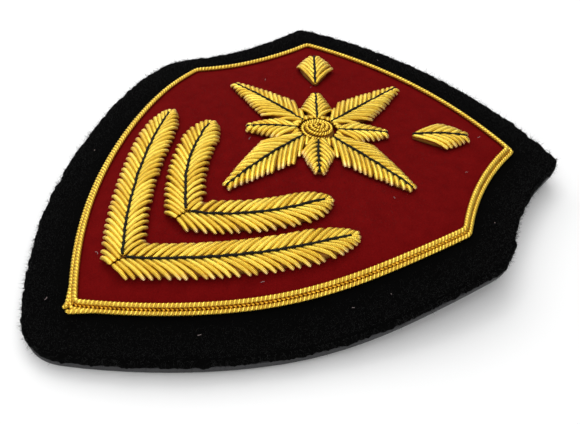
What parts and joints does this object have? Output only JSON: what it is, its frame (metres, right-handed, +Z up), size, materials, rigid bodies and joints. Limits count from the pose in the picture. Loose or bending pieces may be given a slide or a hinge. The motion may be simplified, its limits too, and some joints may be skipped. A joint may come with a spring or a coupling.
{
  "type": "embroidered patch",
  "caption": "Shield-shaped embroidered badge: raised red field with padded gold star and chevrons, gold cord edge, black felt margin and grey backing.",
  "frame": {"origin": "on the surface it lies on, below the middle of the box", "axes": "+Z up from the table through the face, +Y from the bottom tip to the top edge, +X to the right as the face is read"},
  "size_m": [0.0798, 0.093, 0.0111],
  "materials": {
    "backing_cloth": "smooth, slightly shiny",
    "black_felt": "fuzzy, matt",
    "red_cloth": "matt felted cloth",
    "gold_cord": "close-coiled gold wire",
    "gold_purl": "bright gold purl, cut and laid side by side"
  },
  "bodies": {
    "root": {"backing": "backing_cloth", "felt": "black_felt", "field": "red_cloth", "cord_outer": "gold_cord", "cord_inner": "gold_cord", "star_boss": "gold_purl", "ray_n": "gold_purl", "ray_ne": "gold_purl", "ray_e": "gold_purl", "ray_se": "gold_purl", "ray_s": "gold_purl", "ray_sw": "gold_purl", "ray_w": "gold_purl", "ray_nw": "gold_purl", "lozenge_left": "gold_purl", "lozenge_right": "gold_purl", "chevron_lower_left": "gold_purl", "chevron_lower_right": "gold_purl", "chevron_upper_left": "gold_purl", "chevron_upper_right": "gold_purl"}
  },
  "joints": []
}
